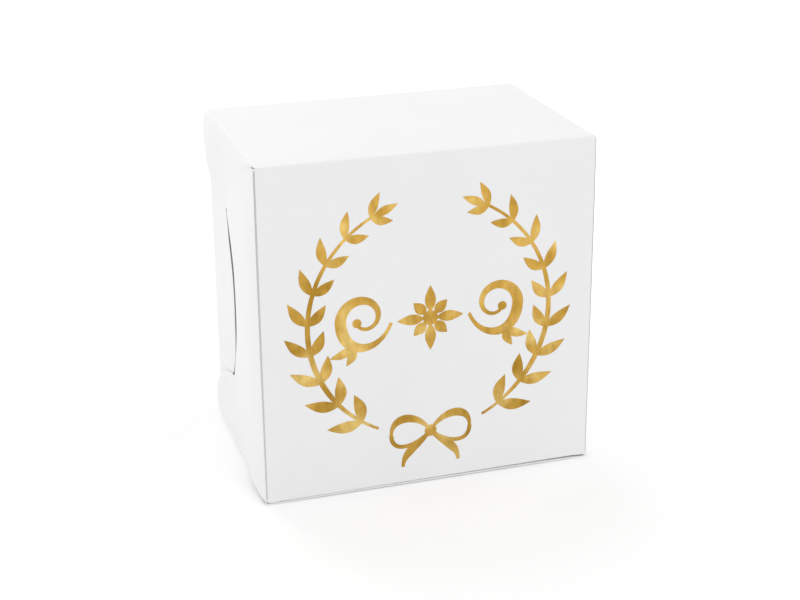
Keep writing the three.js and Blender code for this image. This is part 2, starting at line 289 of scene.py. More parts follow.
bottom_board = board_piece("bottom_wall_board", side_wall_skin(0, 0, 0, BOTTOM_LIFT), (0, 0, -1))
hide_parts("bottom_wall")
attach(bottom_board, "bottom")

# Back wall
# The second panel, folded up from the bottom wall along a creased line. The crease leaves a rounded corner
# outside and a low bead inside. Its end flaps start 18 mm from its top and bottom.
BACK_WALL_HALF = 69.3
BACK_FLAP_MARGIN = 18.0
BEAD = 0.2


def back_wall_edge(from_top):
    beside_flap = BACK_FLAP_MARGIN < from_top < HEIGHT - BACK_FLAP_MARGIN
    return BACK_WALL_HALF - (FOLD_RADIUS if beside_flap else CORNER_SETBACK)


def back_wall_skin():
    near = BACK_FLAP_MARGIN
    far = HEIGHT - BACK_FLAP_MARGIN
    rows = spaced(FOLD_RADIUS, near - STEP, 4)
    rows += spaced(near + STEP, far - STEP, 48)
    rows += spaced(far + STEP, HEIGHT - FOLD_RADIUS, 4)
    skin = []
    for share in spaced(-1, 1, 40):
        line = []
        for from_top in rows:
            x = share * back_wall_edge(from_top)
            bow = WALL_BOW * bulge(x, BACK_WALL_HALF - FOLD_RADIUS) * bulge(from_top - HEIGHT / 2, HEIGHT / 2)
            line.append((x, BACK + bow, HEIGHT - from_top))
        skin.append(line)
    return skin


def wall_fold(name, half, corner, radius, from_side, to_side, turn=90, tilt=0.0, straight=0.0):
    """A rounded fold along x between two walls: from_side and to_side point out of the walls it joins."""
    from_side, to_side = Vector(from_side), Vector(to_side)
    centre = Vector(corner) - radius * (from_side + to_side)
    skin = []
    beads = []
    for degrees in spaced(0, turn, 12):
        angle = math.radians(degrees)
        arc = centre + radius * (from_side * math.cos(angle) + to_side * math.sin(angle))
        columns = spaced(-half, half, 60)
        skin.append([(x, arc.y, arc.z + tilt * x) for x in columns])
        beads.append([SHEET + BEAD * math.sin(math.pi * degrees / turn) ** 2] * len(columns))
    if straight > 0:
        skin.append([(x, y - straight * from_side.y, z - straight * from_side.z) for x, y, z in skin[-1]])
        beads.append([SHEET] * len(skin[-1]))
    return board_piece(name, skin, from_side + to_side, np.array(beads))


back_board = board_piece("back_wall_board", back_wall_skin(), (0, 1, 0))
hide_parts("back_wall")
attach(back_board, "back")
back_fold = wall_fold(
    "back_bottom_fold", SIDE_WALL_HALF - CORNER_SETBACK, (0, BACK, 0), FOLD_RADIUS, (0, 0, -1), (0, 1, 0),
)
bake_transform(back_fold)

# Top wall
# The third panel, folded forward from the back wall. It is the lid, and the front wall hangs from it.
top_board = board_piece("top_wall_board", side_wall_skin(HEIGHT, 1, FOLD_RADIUS), (0, 0, 1))
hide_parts("top_wall")
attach(top_board, "top")
top_fold = wall_fold(
    "top_back_fold", SIDE_WALL_HALF - CORNER_SETBACK, (0, BACK, HEIGHT), FOLD_RADIUS, (0, 1, 0), (0, 0, 1),
)
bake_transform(top_fold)

# Front wall
# The fourth panel, folded down from the top wall, with the foil print. It is hollow by a fifth of a
# millimetre, and its lower edge is folded in about 1.1 mm above the table, a little higher at its right end.
FRONT_HALF = 70.0
FRONT_HOLLOW = 0.2
FRONT_FOOT = 1.1
FRONT_TILT = 0.3
TUCK_HALF = 65.0
TUCK_RADIUS = 0.6
FRONT_FLAT_HALF = FRONT_HALF - FOLD_RADIUS
FRONT_CENTRE = (HEIGHT + FRONT_FOOT) / 2


def front_bow(x, z):
    half_height = (HEIGHT - FRONT_FOOT) / 2 - FOLD_RADIUS
    across = 1 - min(abs(x / FRONT_FLAT_HALF), 1) ** 4
    return -FRONT_HOLLOW * across * bulge(z - FRONT_CENTRE, half_height)


def front_wall_skin():
    columns = spaced(-FRONT_FLAT_HALF, -TUCK_HALF - STEP, 2)
    columns += spaced(-TUCK_HALF, TUCK_HALF, 56)
    columns += spaced(TUCK_HALF + STEP, FRONT_FLAT_HALF, 2)
    skin = []
    for share in spaced(0, 1, 56):
        row = []
        for x in columns:
            foot = FRONT_FOOT + FRONT_TILT * x / FRONT_HALF + (TUCK_RADIUS if abs(x) <= TUCK_HALF else 0)
            z = HEIGHT - FOLD_RADIUS + (foot - HEIGHT + FOLD_RADIUS) * share
            row.append((x, -FRONT - front_bow(x, z), z))
        skin.append(row)
    return skin


front_board = board_piece("front_wall_board", front_wall_skin(), (0, -1, 0))
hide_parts("front_wall")
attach(front_board, "front")
front_fold = wall_fold(
    "front_top_fold", FRONT_FLAT_HALF, (0, -FRONT, HEIGHT), FOLD_RADIUS, (0, 0, 1), (0, -1, 0),
)
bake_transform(front_fold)

# Tuck flap
# The last panel of the strip, folded in under the front wall. It leans up a little from the bottom wall, and
# its two free corners are rounded so that it slips in easily.
TUCK_LENGTH = 16.0
TUCK_START = 1.3
TUCK_CORNER = 7.0
TUCK_LEAN = math.radians(3.3)


def tuck_skin():
    skin = []
    columns = [TUCK_HALF - TUCK_CORNER * (1 - math.sin(math.radians(turn))) for turn in spaced(90, 0, 10)]
    columns += spaced(TUCK_HALF - TUCK_CORNER, TUCK_CORNER - TUCK_HALF, 40)[1:-1]
    columns += [-x for x in reversed(columns[:11])]
    for share in spaced(0, 1, 14):
        row = []
        for x in columns:
            into_corner = max(abs(x) - TUCK_HALF + TUCK_CORNER, 0)
            length = TUCK_LENGTH - TUCK_CORNER + math.sqrt(max(TUCK_CORNER**2 - into_corner**2, 0))
            reach = TUCK_START + (length - TUCK_START) * share
            rise = (reach - TUCK_START) * math.tan(TUCK_LEAN) + FRONT_TILT * x / FRONT_HALF
            row.append((x, reach - FRONT, FRONT_FOOT + rise))
        skin.append(row)
    return skin


tuck_board = board_piece("tuck_flap_board", tuck_skin(), (0, 0, -1))
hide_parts("tuck_flap")
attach(tuck_board, "tuck")
tuck_fold = wall_fold(
    "tuck_fold", TUCK_HALF, (0, -FRONT, FRONT_FOOT), TUCK_RADIUS, (0, -1, 0), (0, 0, -1),
    tilt=FRONT_TILT / FRONT_HALF, straight=TUCK_START - TUCK_RADIUS,
)
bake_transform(tuck_fold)

# Back end flaps
# A half oval of board on each end of the back wall, folded in first. The other flaps press on its upper and
# lower parts, and its free edge springs out between them as far as the front flap's edge.
BACK_FLAP_REACH = 45.1
BACK_FLAP_FULLNESS = 2.0
BACK_FLAP_SPRING = 1.02
BACK_SPRING_RISE = (30, 48)
BACK_SPRING_FALL = (76, 112)
BACK_FLAP_HALF = HEIGHT / 2 - BACK_FLAP_MARGIN
FOLD_WIDTH = 3.0
LEAST_REACH = 0.001
PLAIN_CREASE = 4
BEAD_SHARE = 0.6
FLAP_STEPS = 34
FLAP_ROWS = 26
ROW_CROWDING = 1.2
EDGE_ROUNDING = 0.3
EDGE_SHARE = 0.02
EDGE_DROP = 0.6


def oval_columns(centre, half, reach, fullness, start_reach, steps=FLAP_STEPS):
    """Places along a fold, from an oval's end to its middle, with the oval's reach at each."""
    first = math.asin((start_reach / reach) ** (fullness / 2))
    columns = []
    for turn in spaced(first, math.pi / 2, steps):
        along = math.cos(turn) ** (2 / fullness) if turn < math.pi / 2 - 1e-9 else 0
        columns.append((centre - half * along, reach * math.sin(turn) ** (2 / fullness)))
    return columns


def back_flap_columns(start_reach):
    near = oval_columns(HEIGHT / 2, BACK_FLAP_HALF, BACK_FLAP_REACH, BACK_FLAP_FULLNESS, start_reach)
    return near + [(HEIGHT - s, reach) for s, reach in reversed(near[:-1])]


def back_flap_lift(from_top, reach):
    """How far the flap's face stands out from the plane of the front wall's ends."""
    fall = 1 - smooth(from_top, *BACK_SPRING_FALL)
    spring = BACK_FLAP_SPRING * smooth(from_top, *BACK_SPRING_RISE) * fall
    return BACK_WALL_HALF - FRONT_HALF + spring * math.sin(math.pi / 2 * min(reach / BACK_FLAP_REACH, 1))


def rounded(reach, crease):
    """How far a fold falls short of the corner at a distance past it: crease 2 is round, more is sharper."""
    short = 1 - min(reach, FOLD_RADIUS) / FOLD_RADIUS
    return FOLD_RADIUS * (1 - max(1 - short**crease, 0) ** (1 / crease))


def bend_places(turns):
    """Distances past the corner: round the bend by the given angles, then straight to the fold's end."""
    bend = [FOLD_RADIUS * (1 - math.cos(math.radians(turn))) for turn in turns]
    return bend + spaced(FOLD_RADIUS, FOLD_WIDTH, 8)[1:]


def plain_bend(from_end):
    return bend_places(spaced(0, 90, 30))


def flap_skins(columns_from, lift, place, bend, crease):
    """The fold's and the flap's own grids of points, split where the fold's width ends."""
    lines = []
    for s, reach in columns_from(LEAST_REACH):
        line = []
        for past_corner in bend(s):
            out = past_corner * min(reach / FOLD_WIDTH, 1)
            line.append(place(s, out, lift(s, out) - rounded(out, crease)))
        lines.append(line)
    fold = list(zip(*lines))
    flap = []
    for step in range(FLAP_ROWS + 2):
        at_edge = step > FLAP_ROWS
        row = []
        for s, reach in columns_from(FOLD_WIDTH):
            length = reach - FOLD_WIDTH
            edge = min(EDGE_ROUNDING, EDGE_SHARE * length)
            share = min(step / FLAP_ROWS, 1) ** ROW_CROWDING
            out = FOLD_WIDTH + (length - edge) * share + (edge if at_edge else 0)
            row.append(place(s, out, lift(s, out) - (EDGE_DROP * edge if at_edge else 0)))
        flap.append(row)
    return fold, flap


def fold_beads(fold):
    rows = len(fold)
    share = [math.sin(math.pi * min(row / (rows * BEAD_SHARE), 1)) ** 2 for row in range(rows)]
    return np.array([[SHEET + BEAD * s] * len(fold[0]) for s in share])


def end_flap(
    side, end, wall, columns_from, lift, place, fold_from, fold_to,
    bend=plain_bend, crease=PLAIN_CREASE, pressed_in=None,
):
    """A flap of one wall at one end of the box: a rigid board and the rounded fold beside it."""
    def at_this_end(s, out, lifted):
        x, y, z = place(s, out, lifted)
        return side * x, y, z

    fold_skin, flap_skin = flap_skins(columns_from, lift, at_this_end, bend, crease)
    board = board_piece(f"{end}_{wall}_flap_board", flap_skin, (side, 0, 0))
    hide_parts(f"{end}_{wall}_flap")
    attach(board, f"{end}_{wall}")
    to_corner = Vector(fold_from) - Vector(fold_to)
    fold = board_piece(
        f"{end}_{wall}_fold", fold_skin, (side, to_corner.y, to_corner.z), fold_beads(fold_skin), pressed_in,
    )
    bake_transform(fold)


def back_flap_place(s, out, lifted):
    return FRONT_HALF + lifted, BACK - out, HEIGHT - s


for end, side in (("left", -1), ("right", 1)):
    end_flap(
        side, end, "back", back_flap_columns, back_flap_lift, back_flap_place,
        (BACK_WALL_HALF - FOLD_RADIUS, BACK, HEIGHT / 2), (BACK_WALL_HALF, BACK - FOLD_WIDTH, HEIGHT / 2),
    )

# Top and bottom end flaps
# Folded over the back flaps. Only the front flap holds them down, so their back ends spring out by about
# 2 mm and roll over the fold instead of creasing sharply. The bottom flap also bulges just above its fold.
SIDE_FLAP_REACH = 34.0
SIDE_FLAP_BACK_MARGIN = 0.5
SIDE_FLAP_BACK_FULLNESS = 2.3
SIDE_FLAP_FRONT_FULLNESS = 2.0
SIDE_FLAP_PRESSED = 0.48
SIDE_FLAP_ROLL = 4.4
TOP_FLAP_SPRING = 2.2
TOP_SPRING_FALL = (9, 37)
BOTTOM_FLAP_SPRINGS = ((0.25, (24, 40)), (1.45, (3, 27)))
BOTTOM_FLAP_BULGE = 0.9
BULGE_AT_CORNERS = 0.35
BULGE_RISE = (10, 35)
BULGE_FALL = (60, 85)
BULGE_START = 0.7
BULGE_FADE = 12


def side_flap_columns(start_reach):
    middle = (BACK + FRONT) / 2
    back = oval_columns(
        middle, middle - SIDE_FLAP_BACK_MARGIN, SIDE_FLAP_REACH, SIDE_FLAP_BACK_FULLNESS, start_reach,
    )
    first = FOLD_RADIUS + STEP
    cut = (1 - ((middle - first) / (middle - SIDE_FLAP_BACK_MARGIN)) ** SIDE_FLAP_BACK_FULLNESS)
    start = (first, SIDE_FLAP_REACH * cut ** (1 / SIDE_FLAP_BACK_FULLNESS))
    back = [start] + [(s, reach) for s, reach in back if s > first]
    front = oval_columns(
        middle, middle - (BACK + FRONT - FLAP_START), SIDE_FLAP_REACH, SIDE_FLAP_FRONT_FULLNESS, start_reach,
    )
    return back + [(2 * middle - s, reach) for s, reach in reversed(front[:-1])]


def side_flap_lift(spring, reach):
    rolled = 1 - math.exp(-reach / SIDE_FLAP_ROLL)
    return SIDE_WALL_HALF - FRONT_HALF + (SIDE_FLAP_PRESSED + spring) * rolled


def top_flap_lift(from_back, reach):
    return side_flap_lift(TOP_FLAP_SPRING * (1 - smooth(from_back, *TOP_SPRING_FALL)), reach)


def bottom_flap_lift(from_back, reach):
    spring = sum(height * (1 - smooth(from_back, *fall)) for height, fall in BOTTOM_FLAP_SPRINGS)
    middle = (1 - BULGE_AT_CORNERS) * smooth(from_back, *BULGE_RISE) * (1 - smooth(from_back, *BULGE_FALL))
    bulging = BOTTOM_FLAP_BULGE * (BULGE_AT_CORNERS + middle)
    bulging *= (1 - math.exp(-reach / BULGE_START)) * math.exp(-reach / BULGE_FADE)
    return side_flap_lift(spring, reach) + bulging


def top_flap_place(s, out, lifted):
    return FRONT_HALF + lifted, BACK - s, HEIGHT - out


def bottom_flap_place(s, out, lifted):
    return FRONT_HALF + lifted, BACK - s, out


for end, side in (("left", -1), ("right", 1)):
    end_flap(
        side, end, "top", side_flap_columns, top_flap_lift, top_flap_place,
        (SIDE_WALL_HALF - FOLD_RADIUS, 0, HEIGHT), (SIDE_WALL_HALF, 0, HEIGHT - FOLD_WIDTH),
    )
    end_flap(
        side, end, "bottom", side_flap_columns, bottom_flap_lift, bottom_flap_place,
        (SIDE_WALL_HALF - FOLD_RADIUS, 0, 0), (SIDE_WALL_HALF, 0, FOLD_WIDTH),
    )

# Front end flaps
# Folded in last, with a round horn over the top flap and one over the bottom flap. The middle follows the
# back flap's edge. The sheet is half cut along these folds: a fine line that narrows downwards, dark from the
# notch's own shade and from painted shade, a grey colour on the cut's faces.
SLIT = 1.2
SLIT_TOP_MARGIN = 6.5
SLIT_BOTTOM_MARGIN = 10.3
SLIT_FULLNESS = 2.2
FRONT_FLAP_MARGIN = 0.3
TOP_HORN_FULLNESS = 1.38
BOTTOM_HORN_FULLNESS = 2.2
FRONT_FLAP_BOW = 1.5
BOW_AT_TOP = 0.45
BOW_RISE = (2, 32)
BOW_SKEW = 0.62
HORN_LIFT = 0.45
MIDDLE_LIFT = -0.1
HELD_IN_RISE = (34, 62)
HELD_IN_FALL = (82, 108)
SCORED_CREASE = 2
SCORE_START = (1.2, 2.0)
SCORE_END = (2.5, 1.0)
SCORE_HALF_WIDTH = 0.36
SCORE_NARROWING = 0.1
SCORE_DEPTH = 0.3
SCORE_SHALLOWING = 0.14
SCORE_LIP = 0.8
SCORED_ROWS = slice(4, 7)


def slit_reach(from_top):
    margin = SLIT_TOP_MARGIN if from_top < HEIGHT / 2 else SLIT_BOTTOM_MARGIN
    share = abs(HEIGHT / 2 - from_top) / (HEIGHT / 2 - margin)
    roundness = max(1 - share**SLIT_FULLNESS, 0) ** (1 / SLIT_FULLNESS)
    return BACK + FRONT - (BACK_FLAP_REACH + SLIT) * roundness


def front_flap_columns(start_reach):
    top_tip = SIDE_FLAP_REACH
    bottom_tip = HEIGHT - SIDE_FLAP_REACH
    foot = HEIGHT - FRONT_FOOT - FRONT_FLAP_MARGIN
    top_half = top_tip - FRONT_FLAP_MARGIN
    top = oval_columns(top_tip, top_half, slit_reach(top_tip), TOP_HORN_FULLNESS, start_reach)
    bottom = oval_columns(0, foot - bottom_tip, slit_reach(bottom_tip), BOTTOM_HORN_FULLNESS, start_reach)
    middle = [(s, slit_reach(s)) for s in spaced(top_tip, bottom_tip, 2 * FLAP_STEPS)[1:-1]]
    return top + middle + [(bottom_tip - s, reach) for s, reach in reversed(bottom)]


def front_flap_lift(from_top, reach):
    held_in = smooth(from_top, *HELD_IN_RISE) * (1 - smooth(from_top, *HELD_IN_FALL))
    edge = HORN_LIFT + (MIDDLE_LIFT - HORN_LIFT) * held_in
    share = reach / slit_reach(min(max(from_top, SIDE_FLAP_REACH), HEIGHT - SIDE_FLAP_REACH))
    bow = FRONT_FLAP_BOW * (BOW_AT_TOP + (1 - BOW_AT_TOP) * smooth(from_top, *BOW_RISE))
    return bow * math.sin(math.pi * min(share, 1) ** BOW_SKEW) + edge * share


def front_flap_place(s, out, lifted):
    return FRONT_HALF + lifted, out - FRONT, HEIGHT - s


def scored_bend(from_top):
    """Angles round the bend, with close pairs at both edges of the half cut."""
    half_width = math.degrees((SCORE_HALF_WIDTH - SCORE_NARROWING * from_top / HEIGHT) / FOLD_RADIUS)
    near, far = 45 - half_width, 45 + half_width
    return bend_places([0, 9, 16, near - SCORE_LIP, near, 45, far, far + SCORE_LIP, 76, 83, 90])


def score_depths():
    """How deep the half cut is at each point of the fold's grid."""
    columns = front_flap_columns(LEAST_REACH)
    depths = np.zeros((len(scored_bend(0)), len(columns)))
    full_to, cut_to = (HEIGHT - FRONT_FOOT - from_foot for from_foot in SCORE_END)
    for column, (from_top, _) in enumerate(columns):
        depth = (SCORE_DEPTH - SCORE_SHALLOWING * from_top / HEIGHT) * smooth(from_top, *SCORE_START)
        depths[SCORED_ROWS, column] = depth * (1 - smooth(from_top, full_to, cut_to))
    return depths


for end, side in (("left", -1), ("right", 1)):
    end_flap(
        side, end, "front", front_flap_columns, front_flap_lift, front_flap_place,
        (FRONT_HALF - FOLD_RADIUS, -FRONT, HEIGHT / 2), (FRONT_HALF, FOLD_WIDTH - FRONT, HEIGHT / 2),
        scored_bend, SCORED_CREASE, score_depths(),
    )

# Gold foil ornament
# Hot-stamped gold foil, pressed onto the front wall before the sheet is folded: a leaf wreath in two sprigs,
# two scrolls, a rosette and a bow. It stands proud of the board by 0.04 mm and follows its hollow.
ORNAMENT_CENTRE = (HEIGHT + 4) / 2
FOIL = 0.04
FOIL_BITE = 0.01
WREATH_RADIUS = 51.0
WREATH_START = -64.0
WREATH_END = 67.0
LEAF_PAIRS = 9
LEAF_OFFSET = 0.6
LEAF_LENGTH = 15.5
LEAF_WIDTH = 5.2
LEAF_BELLY = 0.85
LEAF_BOW = 0.8
LEAF_SPREAD = 40.0
LEAF_TAPER = 0.3
LEAF_CORNERS = 40
DISC_CORNERS = 64
INNER_LEAF_SHARE = 0.86
STEM_THIN = 1.2
STEM_THICK = 2.3
STROKE_THIN = 1.4
RIBBON_THICK = 3.6
SCROLL_LEAD = ((16.5, 0), (21.25, -13), (37.5, -13), (37.5, 3))
SCROLL_EYE = (28, 3)
SCROLL_RADII = (9.5, 3.2)
SCROLL_TURNS = (0, 330)
SCROLL_THICK = 4.8
SCROLL_BEAD = 1.9
SCROLL_LEAF_WIDTH = 3.8
SCROLL_LEAVES = ((-22, 11.0), (-68, 8.8))
ROSETTE_RADIUS = 3.2
ROSETTE_FOOT = 2.56
ROSETTE_LEAF_WIDTH = 4.6
ROSETTE_LEAVES = ((0, 11.5), (45, 7.5))
KNOT = (0, -50)
KNOT_RADIUS = 2.6
LOOP_REACH = 17
LOOP_TOP = -41
LOOP_FOOT = -59
TAIL_REACH = 12
TAIL_FOOT = -65


def gold_foil():
    material, tree, shader = start_material("gold_foil", 0.3)
    shader.inputs["Metallic"].default_value = 1
    clouds = add_noise(tree, 70, 2)
    crinkles = add_noise(tree, 420, 4, (1, 1, 0.35), (0, 0.7, 0))
    specks = add_noise(tree, 1500, 2)
    # Painted reflection: the dark and bright gold clouds and the lighter streaks stand in for the crinkled
    # foil mirroring darker and lighter surroundings; the worn specks are real wear.
    gold = ramp_between(tree, clouds, [
        (0.3, (0.42, 0.235, 0.03)), (0.5, (0.6, 0.36, 0.075)), (0.7, (0.83, 0.6, 0.2)),
    ])
    painted_reflection_streaks = ramp_between(tree, crinkles, [(0.35, (0.78, 0.76, 0.7)), (0.65, (1, 1, 1))])
    worn = ramp_between(tree, specks, [(0.22, (0.3, 0.32, 0.22)), (0.27, (1, 1, 1))])
    for layer in (painted_reflection_streaks, worn):
        mix = tree.nodes.new("ShaderNodeMix")
        mix.data_type = "RGBA"
        mix.blend_type = "MULTIPLY"
        mix.inputs["Factor"].default_value = 1
        tree.links.new(gold, mix.inputs["A"])
        tree.links.new(layer, mix.inputs["B"])
        gold = mix.outputs["Result"]
    tree.links.new(gold, shader.inputs["Base Color"])
    tree.links.new(spread_between(tree, crinkles, 0.22, 0.38), shader.inputs["Roughness"])
    add_relief(tree, shader, [(clouds, 0.0006), (crinkles, 0.00005)])
    return material


FOIL_FINISH = gold_foil()


def figure(tree, operation, *values, clamp=False):
    """One sum in a node tree, from sockets and plain numbers."""
    node = tree.nodes.new("ShaderNodeMath")
    node.operation = operation
    node.use_clamp = clamp
    for socket, value in zip(node.inputs, values):
        if isinstance(value, (int, float)):
            socket.default_value = value
        else:
            tree.links.new(value, socket)
    return node.outputs["Value"]


def leaf_tree():
    """Leaves of one form, in turn along an arc: each is a ring of points drawn out to a leaf."""
    tree = bpy.data.node_groups.new("leaves_along_arc", "GeometryNodeTree")
    tree.interface.new_socket("Leaves", in_out="INPUT", socket_type="NodeSocketInt")
    for name in (
        "Radius", "Start Angle", "Sweep Angle", "Offset", "Heading", "Taper",
        "Leaf Length", "Leaf Width", "Leaf Bow", "Leaf Belly",
    ):
        tree.interface.new_socket(name, in_out="INPUT", socket_type="NodeSocketFloat")
    tree.interface.new_socket("Foil", in_out="INPUT", socket_type="NodeSocketMaterial")
    tree.interface.new_socket("Leaves", in_out="OUTPUT", socket_type="NodeSocketGeometry")
    sizes = tree.nodes.new("NodeGroupInput").outputs
    number = tree.nodes.new("GeometryNodeInputIndex").outputs["Index"]
    share = figure(tree, "DIVIDE", figure(tree, "ADD", number, sizes["Offset"]), sizes["Leaves"])
    turn = figure(tree, "MULTIPLY_ADD", share, sizes["Sweep Angle"], sizes["Start Angle"])
    place = tree.nodes.new("ShaderNodeCombineXYZ")
    tree.links.new(figure(tree, "MULTIPLY", figure(tree, "COSINE", turn), sizes["Radius"]), place.inputs["X"])
    tree.links.new(figure(tree, "MULTIPLY", figure(tree, "SINE", turn), sizes["Radius"]), place.inputs["Y"])
    feet = tree.nodes.new("GeometryNodePoints")
    tree.links.new(sizes["Leaves"], feet.inputs["Count"])
    tree.links.new(place.outputs["Vector"], feet.inputs["Position"])

    ring = tree.nodes.new("GeometryNodeMeshCircle")
    ring.fill_type = "NGON"
    ring.inputs["Vertices"].default_value = LEAF_CORNERS
    ring.inputs["Radius"].default_value = 1
    ring_point = tree.nodes.new("GeometryNodeInputPosition")
    ring_place = tree.nodes.new("ShaderNodeSeparateXYZ")
    tree.links.new(ring_point.outputs["Position"], ring_place.inputs["Vector"])
    along = figure(tree, "MULTIPLY_ADD", ring_place.outputs["X"], 0.5, 0.5, clamp=True)
    fuller = figure(tree, "POWER", along, sizes["Leaf Belly"])
    belly = figure(tree, "SINE", figure(tree, "MULTIPLY", fuller, math.pi))
    side = figure(tree, "MULTIPLY", figure(tree, "SIGN", ring_place.outputs["Y"]), sizes["Leaf Width"])
    half = figure(tree, "MULTIPLY", figure(tree, "MULTIPLY", belly, side), 0.5)
    arch = figure(tree, "SINE", figure(tree, "MULTIPLY", along, math.pi))
    middle = figure(tree, "MULTIPLY", arch, sizes["Leaf Bow"])
    rim = tree.nodes.new("ShaderNodeCombineXYZ")
    tree.links.new(figure(tree, "MULTIPLY", along, sizes["Leaf Length"]), rim.inputs["X"])
    tree.links.new(figure(tree, "ADD", half, middle), rim.inputs["Y"])
    drawn_out = tree.nodes.new("GeometryNodeSetPosition")
    tree.links.new(ring.outputs["Mesh"], drawn_out.inputs["Geometry"])
    tree.links.new(rim.outputs["Vector"], drawn_out.inputs["Position"])

    heading = tree.nodes.new("ShaderNodeCombineXYZ")
    tree.links.new(figure(tree, "ADD", turn, sizes["Heading"]), heading.inputs["Z"])
    size = figure(tree, "SUBTRACT", 1, figure(tree, "MULTIPLY", share, sizes["Taper"]))
    row = tree.nodes.new("GeometryNodeInstanceOnPoints")
    tree.links.new(feet.outputs[0], row.inputs["Points"])
    tree.links.new(drawn_out.outputs["Geometry"], row.inputs["Instance"])
    tree.links.new(heading.outputs["Vector"], row.inputs["Rotation"])
    tree.links.new(size, row.inputs["Scale"])
    real = tree.nodes.new("GeometryNodeRealizeInstances")
    tree.links.new(row.outputs["Instances"], real.inputs["Geometry"])
    coated = tree.nodes.new("GeometryNodeSetMaterial")
    tree.links.new(real.outputs["Geometry"], coated.inputs["Geometry"])
    tree.links.new(sizes["Foil"], coated.inputs["Material"])
    result = tree.nodes.new("NodeGroupOutput")
    tree.links.new(coated.outputs["Geometry"], result.inputs["Leaves"])
    return tree


LEAF_TREE = leaf_tree()


def leaf_outlines(**sizes):
    """The outlines of a row of leaves, in mm, from the ornament's own centre."""
    holder = bpy.data.objects.new("leaf_row", bpy.data.meshes.new("leaf_row"))
    bpy.context.scene.collection.objects.link(holder)
    modifier = holder.modifiers.new("leaves", "NODES")
    modifier.node_group = LEAF_TREE
    for socket in LEAF_TREE.interface.items_tree:
        if socket.in_out == "INPUT":
            name = socket.name.lower().replace(" ", "_")
            modifier[socket.identifier] = FOIL_FINISH if name == "foil" else sizes[name]
    row = bpy.data.meshes.new_from_object(holder.evaluated_get(bpy.context.evaluated_depsgraph_get()))
    outlines = [[tuple(row.vertices[corner].co[:2]) for corner in face.vertices] for face in row.polygons]
    bpy.data.objects.remove(holder)
    return outlines


def single_leaf(x, y, degrees, length, width, bow):
    outline = leaf_outlines(
        leaves=1, radius=0.0, start_angle=math.radians(degrees), sweep_angle=0.0, offset=0.0, heading=0.0,
        taper=0.0, leaf_length=length, leaf_width=width, leaf_bow=bow, leaf_belly=LEAF_BELLY,
    )[0]
    return [(x + px, y + py) for px, py in outline]


def disc_outline(x, y, radius):
    turns = [math.tau * step / DISC_CORNERS for step in range(DISC_CORNERS)]
    return [(x + radius * math.cos(turn), y + radius * math.sin(turn)) for turn in turns]


def stroke_outlines(line, thin, thick, peak):
    """A stroke along a line of points, swelling from thin to thick at its peak and thin again, cut across."""
    line = np.array(line)
    run = np.concatenate([[0], np.cumsum(np.linalg.norm(np.diff(line, axis=0), axis=1))])
    share = run / run[-1]
    swell = np.where(share < peak, share / peak, (1 - share) / (1 - peak))
    half = (thin + (thick - thin) * np.sin(math.pi / 2 * swell) ** 2) / 2
    heading = np.gradient(line, axis=0)
    heading /= np.linalg.norm(heading, axis=1)[:, None]
    across = np.stack([-heading[:, 1], heading[:, 0]], axis=1) * half[:, None]
    left, right = line + across, line - across
    quads = [(right[i], right[i + 1], left[i + 1], left[i]) for i in range(len(line) - 1)]
    return [[tuple(corner) for corner in quad] for quad in quads]


def arc_line(x, y, start_radius, end_radius, start_turn, end_turn, steps=96):
    points = []
    for share in spaced(0, 1, steps):
        radius = start_radius + (end_radius - start_radius) * share
        turn = math.radians(start_turn + (end_turn - start_turn) * share)
        points.append((x + radius * math.cos(turn), y + radius * math.sin(turn)))
    return points


def curve_line(start, start_pull, end_pull, end, steps=40):
    points = []
    for t in spaced(0, 1, steps):
        weights = ((1 - t) ** 3, 3 * t * (1 - t) ** 2, 3 * t * t * (1 - t), t**3)
        corners = (start, start_pull, end_pull, end)
        points.append(tuple(sum(w * corner[i] for w, corner in zip(weights, corners)) for i in (0, 1)))
    return points


def foil_piece(name, outlines, side=1):
    """One island of foil: overlapping outlines joined into a thin closed plate on the bowed front wall."""
    points = []
    rings = []
    for outline in outlines:
        ring = outline if side > 0 else list(reversed(outline))
        rings.append(list(range(len(points), len(points) + len(ring))))
        points += [Vector((side * x, y)) for x, y in ring]
    flat, _, triangles, _, _, from_rings = delaunay_2d_cdt(points, [], rings, 1, 1e-4, True)
    triangles = [list(triangle) for triangle, rings_under in zip(triangles, from_rings) if rings_under]
    count = len(flat)
    plate = []
    for depth in (FOIL, -FOIL_BITE):
        for x, y in flat:
            z = ORNAMENT_CENTRE + y
            plate.append((x * MM, (-FRONT - front_bow(x, z) - depth) * MM, z * MM))
    edges = {}
    for a, b, c in triangles:
        for edge in ((a, b), (b, c), (c, a)):
            edges[edge] = True
    rim = [(a, b) for a, b in edges if (b, a) not in edges]
    faces = triangles + [[count + corner for corner in reversed(triangle)] for triangle in triangles]
    faces += [[b, a, count + a, count + b] for a, b in rim]
    mesh = bpy.data.meshes.new(name)
    mesh.from_pydata(plate, [], faces)
    mesh.materials.append(FOIL_FINISH)
    close_mesh(mesh)
    piece = bpy.data.objects.new(name, mesh)
    bpy.context.scene.collection.objects.link(piece)
    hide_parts(name.replace("_print", ""))
    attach(piece, "front")


